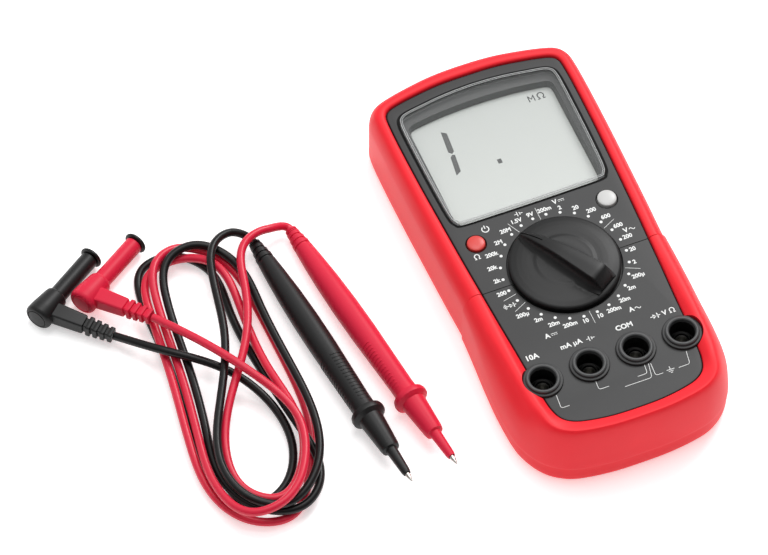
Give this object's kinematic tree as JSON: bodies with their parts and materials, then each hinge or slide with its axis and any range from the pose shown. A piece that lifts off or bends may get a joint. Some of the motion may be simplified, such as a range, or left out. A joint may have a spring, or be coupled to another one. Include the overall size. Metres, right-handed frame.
{
  "type": "digital multimeter",
  "caption": "Handheld digital multimeter in a two-part soft bumper, with display, rotary selector, push buttons, banana jacks, fold-out stand and a pair of coiled test leads.",
  "frame": {"origin": "middle of the rear case on the surface it lies on, meter lying on its back", "axes": "+X to the right across the front panel, +Y from the jacks towards the display end, +Z out of the front panel, away from the surface it lies on"},
  "size_m": [0.2365, 0.182, 0.039],
  "materials": {
    "bumper_upper": "satin",
    "bumper_lower": "satin",
    "panel_upper": "fine texture",
    "panel_lower": "fine texture",
    "rear_case": "fine texture",
    "battery_door": "fine texture",
    "door_screw": "zinc plated",
    "case_screw_1": "zinc plated",
    "case_screw_2": "zinc plated",
    "case_screw_3": "zinc plated",
    "case_screw_4": "zinc plated",
    "pcb_screw_1": "zinc plated",
    "pcb_screw_2": "zinc plated",
    "display_window": "clear polished",
    "lcd_frame": "matt",
    "lcd_glass": "grey-green reflective display",
    "zebra_strip": "matt",
    "detent_ring": "matt",
    "power_switch": "matt",
    "low_z_switch": "matt",
    "jack_sleeve_1": "satin moulded",
    "jack_sleeve_2": "satin moulded",
    "jack_sleeve_3": "satin moulded",
    "jack_sleeve_4": "satin moulded",
    "jack_contact_1": "polished",
    "jack_contact_2": "polished",
    "jack_contact_3": "polished",
    "jack_contact_4": "polished",
    "main_pcb": "solder-mask gloss",
    "adc_chip": "matt",
    "buzzer": "matt",
    "fuse_10a": "clear with metal caps",
    "fuse_ma": "clear with metal caps",
    "fuse_clip_1": "plated",
    "fuse_clip_2": "plated",
    "fuse_clip_3": "plated",
    "fuse_clip_4": "plated",
    "shunt_wire": "bare wire",
    "battery_9v": "printed steel can",
    "battery_snap": "matt",
    "selector_knob": "satin",
    "switch_rotor": "matt",
    "rotor_contact": "polished",
    "detent_ball_1": "polished steel",
    "detent_ball_2": "polished steel",
    "power_button": "satin",
    "low_z_button": "satin",
    "tilt_stand": "satin",
    "plug_body_black": "satin moulded",
    "plug_pin_black": "nickel plated",
    "cord_black": "glossy flexible jacket",
    "probe_handle_black": "satin moulded",
    "probe_needle_black": "nickel plated",
    "plug_body_red": "satin moulded",
    "plug_pin_red": "nickel plated",
    "cord_red": "glossy flexible jacket",
    "probe_handle_red": "satin moulded",
    "probe_needle_red": "nickel plated",
    "plug_cap_black": "satin",
    "plug_cap_red": "satin"
  },
  "bodies": {
    "meter": {"bumper_upper": "bumper_upper", "bumper_lower": "bumper_lower", "panel_upper": "panel_upper", "panel_lower": "panel_lower", "rear_case": "rear_case", "battery_door": "battery_door", "door_screw": "door_screw", "case_screw_1": "case_screw_1", "case_screw_2": "case_screw_2", "case_screw_3": "case_screw_3", "case_screw_4": "case_screw_4", "pcb_screw_1": "pcb_screw_1", "pcb_screw_2": "pcb_screw_2", "display_window": "display_window", "lcd_frame": "lcd_frame", "lcd_glass": "lcd_glass", "zebra_strip": "zebra_strip", "detent_ring": "detent_ring", "power_switch": "power_switch", "low_z_switch": "low_z_switch", "jack_sleeve_1": "jack_sleeve_1", "jack_sleeve_2": "jack_sleeve_2", "jack_sleeve_3": "jack_sleeve_3", "jack_sleeve_4": "jack_sleeve_4", "jack_contact_1": "jack_contact_1", "jack_contact_2": "jack_contact_2", "jack_contact_3": "jack_contact_3", "jack_contact_4": "jack_contact_4", "main_pcb": "main_pcb", "adc_chip": "adc_chip", "buzzer": "buzzer", "fuse_10a": "fuse_10a", "fuse_ma": "fuse_ma", "fuse_clip_1": "fuse_clip_1", "fuse_clip_2": "fuse_clip_2", "fuse_clip_3": "fuse_clip_3", "fuse_clip_4": "fuse_clip_4", "shunt_wire": "shunt_wire", "battery_9v": "battery_9v", "battery_snap": "battery_snap"},
    "selector": {"selector_knob": "selector_knob", "switch_rotor": "switch_rotor", "rotor_contact": "rotor_contact", "detent_ball_1": "detent_ball_1", "detent_ball_2": "detent_ball_2"},
    "power_key": {"power_button": "power_button"},
    "low_z_key": {"low_z_button": "low_z_button"},
    "stand": {"tilt_stand": "tilt_stand"},
    "test_leads": {"plug_body_black": "plug_body_black", "plug_pin_black": "plug_pin_black", "cord_black": "cord_black", "probe_handle_black": "probe_handle_black", "probe_needle_black": "probe_needle_black", "plug_body_red": "plug_body_red", "plug_pin_red": "plug_pin_red", "cord_red": "cord_red", "probe_handle_red": "probe_handle_red", "probe_needle_red": "probe_needle_red"},
    "cap_black": {"plug_cap_black": "plug_cap_black"},
    "cap_red": {"plug_cap_red": "plug_cap_red"}
  },
  "joints": [
    {"name": "knob_turn", "type": "hinge", "parent": "meter", "child": "selector", "pos_m": [0, -0.0136, 0.035], "axis": [0, 0, 1], "continuous": true},
    {"name": "power_push", "type": "slide", "parent": "meter", "child": "power_key", "axis": [0, 0, -1], "range_m": [0, 0.0015], "stiffness_N_per_m": 300, "springref_m": -0.0005},
    {"name": "low_z_push", "type": "slide", "parent": "meter", "child": "low_z_key", "axis": [0, 0, -1], "range_m": [0, 0.0012], "stiffness_N_per_m": 300, "springref_m": -0.0005},
    {"name": "stand_fold", "type": "hinge", "parent": "meter", "child": "stand", "pos_m": [0, 0.02, 0.00135], "axis": [1, 0, 0], "range_deg": [0, 65]},
    {"name": "leads_lift", "type": "slide", "parent": "meter", "child": "test_leads", "axis": [0, 0, 1], "range_m": [0, 0.06]},
    {"name": "cap_black_pull", "type": "slide", "parent": "test_leads", "child": "cap_black", "axis": [0.8321, 0.5536, -0.0344], "range_m": [0, 0.012]},
    {"name": "cap_red_pull", "type": "slide", "parent": "test_leads", "child": "cap_red", "axis": [0.832, 0.5524, -0.0511], "range_m": [0, 0.012]}
  ]
}
